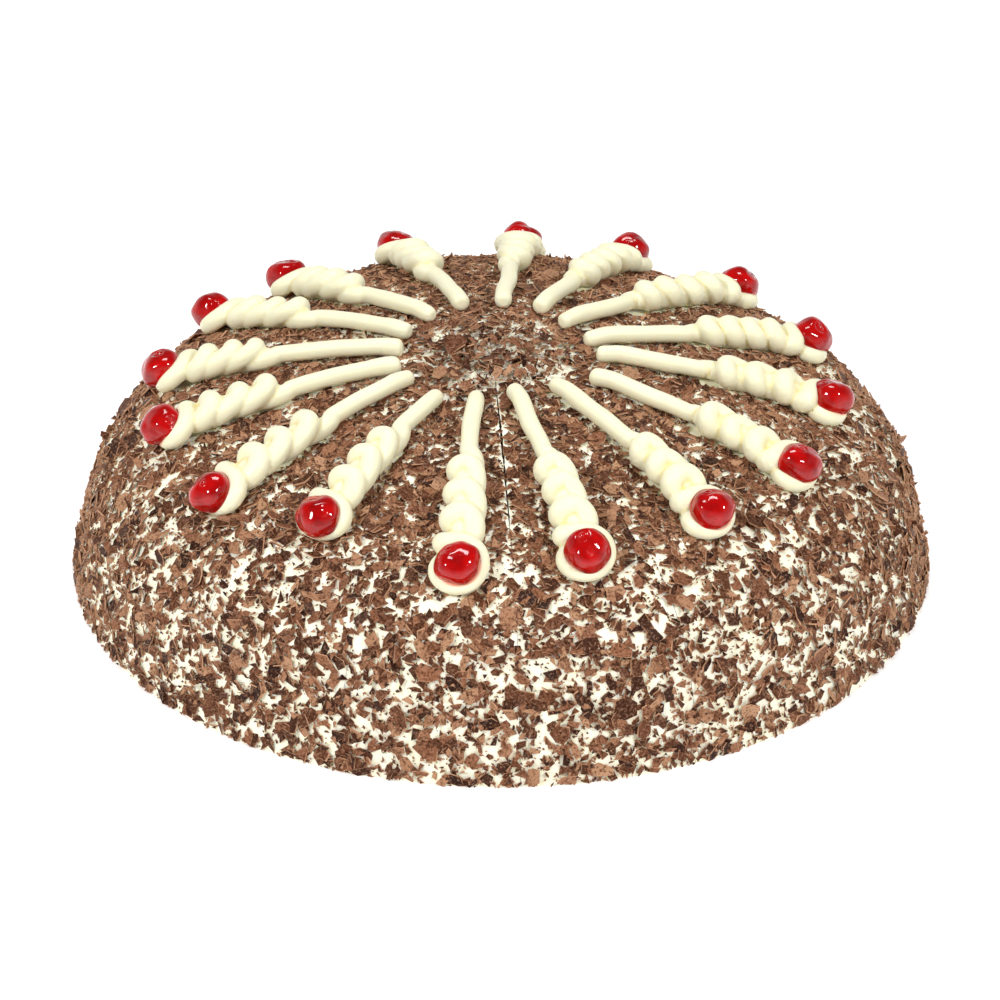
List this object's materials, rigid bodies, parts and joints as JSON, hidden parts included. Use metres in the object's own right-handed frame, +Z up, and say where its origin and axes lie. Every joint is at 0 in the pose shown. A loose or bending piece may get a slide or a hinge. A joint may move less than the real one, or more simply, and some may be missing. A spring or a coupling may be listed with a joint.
{
  "type": "cherry cream torte",
  "caption": "Low domed cream cake in cut portions, strewn with dark chocolate flakes, with piped cream ropes running out to glace cherries.",
  "frame": {"origin": "centre of the flat underside, on the surface that the cake rests on", "axes": "+Z up, along the dome's axis; -Y is the front, facing the viewer"},
  "size_m": [0.2896, 0.2894, 0.079],
  "materials": {
    "flaked_cream": "whipped cream covered in matt shards of dark chocolate",
    "piped_cream": "smooth piped whipped cream, soft satin",
    "glace_fruit": "deep red glace cherry, wet gloss"
  },
  "bodies": {
    "root": {"slice_01": "flaked_cream", "slice_02": "flaked_cream", "slice_03": "flaked_cream", "slice_04": "flaked_cream", "slice_05": "flaked_cream", "slice_06": "flaked_cream", "slice_07": "flaked_cream", "slice_08": "flaked_cream", "slice_09": "flaked_cream", "slice_10": "flaked_cream", "slice_11": "flaked_cream", "slice_12": "flaked_cream", "slice_13": "flaked_cream", "slice_14": "flaked_cream", "slice_15": "flaked_cream", "slice_16": "flaked_cream", "cream_rope_01": "piped_cream", "cream_rope_02": "piped_cream", "cream_rope_03": "piped_cream", "cream_rope_04": "piped_cream", "cream_rope_05": "piped_cream", "cream_rope_06": "piped_cream", "cream_rope_07": "piped_cream", "cream_rope_08": "piped_cream", "cream_rope_09": "piped_cream", "cream_rope_10": "piped_cream", "cream_rope_11": "piped_cream", "cream_rope_12": "piped_cream", "cream_rope_13": "piped_cream", "cream_rope_14": "piped_cream", "cream_rope_15": "piped_cream", "cream_rope_16": "piped_cream", "cherry_01": "glace_fruit", "cherry_02": "glace_fruit", "cherry_03": "glace_fruit", "cherry_04": "glace_fruit", "cherry_05": "glace_fruit", "cherry_06": "glace_fruit", "cherry_07": "glace_fruit", "cherry_08": "glace_fruit", "cherry_09": "glace_fruit", "cherry_10": "glace_fruit", "cherry_11": "glace_fruit", "cherry_12": "glace_fruit", "cherry_13": "glace_fruit", "cherry_14": "glace_fruit", "cherry_15": "glace_fruit", "cherry_16": "glace_fruit"}
  },
  "joints": []
}
